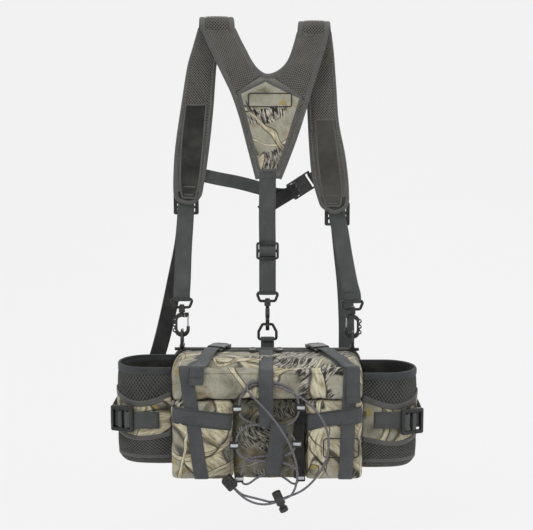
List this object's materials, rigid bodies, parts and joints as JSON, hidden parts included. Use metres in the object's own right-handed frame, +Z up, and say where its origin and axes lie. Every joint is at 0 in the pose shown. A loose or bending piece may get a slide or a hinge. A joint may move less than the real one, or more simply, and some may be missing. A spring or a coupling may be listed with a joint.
{
  "type": "lumbar pack with shoulder harness",
  "caption": "Camouflage lumbar pack with mesh bottle pockets, laced bungee front and a Y-shaped padded shoulder harness clipped on by swivel hooks.",
  "frame": {"origin": "centre of the flat rear face of the back panel, where the pack rests on the wearer's back", "axes": "+Y out of the rear face towards the wearer, +Z up along the harness, +X to the viewer's right when the front of the bag is seen"},
  "size_m": [0.4562, 0.2771, 0.7038],
  "materials": {
    "camo_fabric": null,
    "dark_camo_fabric": "printed ripstop, dark areas of the same pattern",
    "grey_padding": "spacer mesh over foam",
    "grip_fabric": "dark non-slip fabric",
    "binding": "grosgrain tape",
    "open_mesh": "open diamond mesh",
    "grey_webbing": "ribbed polypropylene webbing",
    "black_webbing": "ribbed webbing",
    "reflective_webbing": "black webbing with a pale reflective strip",
    "zip_coil": "coil zip",
    "bungee_cord": "braided elastic cord",
    "steel_wire": "bright wire",
    "black_plastic": "moulded acetal, satin"
  },
  "bodies": {
    "pack": {"back_panel": "grey_padding", "bag_shell": "camo_fabric", "belt_ladder_locks": "black_plastic", "belt_webbing": "grey_webbing", "bottle_pocket_left": "open_mesh", "bottle_pocket_right": "open_mesh", "bungee_lacing": "bungee_cord", "bungee_tail_a": "bungee_cord", "bungee_tail_b": "bungee_cord", "centre_panel": "dark_camo_fabric", "centre_strap": "grey_webbing", "centre_web": "grey_webbing", "chest_buckle_female": "black_plastic", "chest_web_left": "grey_webbing", "chest_web_right": "black_webbing", "cord_end": "black_plastic", "cord_lock_barrel": "black_plastic", "cord_lock_spring": "steel_wire", "cord_loops": "reflective_webbing", "drop_webbing": "grey_webbing", "front_pocket_left": "camo_fabric", "front_pocket_right": "camo_fabric", "grip_panels": "grip_fabric", "hip_wings": "grey_padding", "horizontal_straps": "grey_webbing", "lid_buckle_females": "black_plastic", "lid_straps": "grey_webbing", "pad_ladder_locks": "black_plastic", "pocket_collars": "binding", "sewn_tabs": "grey_webbing", "shoulder_pad_left": "grey_padding", "shoulder_pad_right": "grey_padding", "swivel_ring_centre": "black_plastic", "swivel_ring_left": "black_plastic", "swivel_ring_right": "black_plastic", "top_piping": "binding", "upper_front_pocket": "camo_fabric", "waist_buckle_female": "black_plastic", "yoke_arm_left": "grey_padding", "yoke_arm_right": "grey_padding", "yoke_camo_panel": "camo_fabric", "yoke_centre": "grey_padding", "zip_chain": "zip_coil"},
    "zip_slider_left": {"zip_slider_left": "black_plastic"},
    "zip_slider_right": {"zip_slider_right": "black_plastic"},
    "lid_buckle_male_left": {"lid_buckle_male_left": "black_plastic"},
    "lid_buckle_male_right": {"lid_buckle_male_right": "black_plastic"},
    "waist_buckle_male": {"waist_buckle_male": "black_plastic"},
    "chest_buckle_male": {"chest_buckle_male": "black_plastic"},
    "d_ring_left": {"d_ring_left": "black_plastic"},
    "d_ring_right": {"d_ring_right": "black_plastic"},
    "d_ring_centre": {"d_ring_centre": "black_plastic"},
    "snap_hook_left": {"snap_hook_left": "black_plastic"},
    "snap_hook_right": {"snap_hook_right": "black_plastic"},
    "snap_hook_centre": {"snap_hook_centre": "black_plastic"},
    "hook_gate_left": {"hook_gate_left": "steel_wire"},
    "hook_gate_right": {"hook_gate_right": "steel_wire"},
    "hook_gate_centre": {"hook_gate_centre": "steel_wire"},
    "cord_lock_button": {"cord_lock_button": "black_plastic"},
    "centre_slider": {"centre_slider": "black_plastic"}
  },
  "joints": [
    {"name": "zip_left_slide", "type": "slide", "parent": "pack", "child": "zip_slider_left", "axis": [-1, 0, 0], "range_m": [0, 0.03]},
    {"name": "zip_right_slide", "type": "slide", "parent": "pack", "child": "zip_slider_right", "axis": [1, 0, 0], "range_m": [0, 0.03]},
    {"name": "lid_buckle_left_release", "type": "slide", "parent": "pack", "child": "lid_buckle_male_left", "axis": [-0.3714, -0.9285, 0], "range_m": [0, 0.016]},
    {"name": "lid_buckle_right_release", "type": "slide", "parent": "pack", "child": "lid_buckle_male_right", "axis": [0.3714, -0.9285, 0], "range_m": [0, 0.016]},
    {"name": "waist_buckle_release", "type": "slide", "parent": "pack", "child": "waist_buckle_male", "axis": [-1, 0, 0], "range_m": [0, 0.016]},
    {"name": "chest_buckle_release", "type": "slide", "parent": "pack", "child": "chest_buckle_male", "axis": [-0.8387, 0, -0.5446], "range_m": [0, 0.016]},
    {"name": "cord_lock_press", "type": "slide", "parent": "pack", "child": "cord_lock_button", "axis": [-0.4067, 0, 0.9135], "range_m": [0, 0.005], "stiffness_N_per_m": 300, "deforming": ["cord_lock_spring"]},
    {"name": "centre_slider_adjust", "type": "slide", "parent": "pack", "child": "centre_slider", "axis": [0, 0, 1], "range_m": [-0.016, 0.012]},
    {"name": "hook_left_swivel", "type": "hinge", "parent": "pack", "child": "snap_hook_left", "pos_m": [-0.127, -0.008, 0.137], "axis": [0, 0, 1], "range_deg": [-20, 20]},
    {"name": "gate_left_open", "type": "hinge", "parent": "snap_hook_left", "child": "hook_gate_left", "pos_m": [-0.118, -0.008, 0.1308], "axis": [0, 1, 0], "range_deg": [0, 25], "stiffness_Nm_per_rad": 0.02},
    {"name": "d_ring_left_tilt", "type": "hinge", "parent": "pack", "child": "d_ring_left", "pos_m": [-0.127, -0.008, 0.0855], "axis": [0, 1, 0], "range_deg": [-4, 4]},
    {"name": "hook_right_swivel", "type": "hinge", "parent": "pack", "child": "snap_hook_right", "pos_m": [0.129, -0.008, 0.134], "axis": [0, 0, 1], "range_deg": [-20, 20]},
    {"name": "gate_right_open", "type": "hinge", "parent": "snap_hook_right", "child": "hook_gate_right", "pos_m": [0.12, -0.008, 0.1278], "axis": [0, -1, 0], "range_deg": [0, 25], "stiffness_Nm_per_rad": 0.02},
    {"name": "d_ring_right_tilt", "type": "hinge", "parent": "pack", "child": "d_ring_right", "pos_m": [0.129, -0.008, 0.0825], "axis": [0, 1, 0], "range_deg": [-4, 4]},
    {"name": "hook_centre_swivel", "type": "hinge", "parent": "pack", "child": "snap_hook_centre", "pos_m": [0.0015, -0.005, 0.1461], "axis": [0, 0, 1], "range_deg": [-20, 20]},
    {"name": "gate_centre_open", "type": "hinge", "parent": "snap_hook_centre", "child": "hook_gate_centre", "pos_m": [0.0015, 0.004, 0.1399], "axis": [-1, 0, 0], "range_deg": [0, 25], "stiffness_Nm_per_rad": 0.02},
    {"name": "d_ring_centre_tilt", "type": "hinge", "parent": "pack", "child": "d_ring_centre", "pos_m": [0.0015, -0.005, 0.0946], "axis": [1, 0, 0], "range_deg": [-4, 4]}
  ]
}
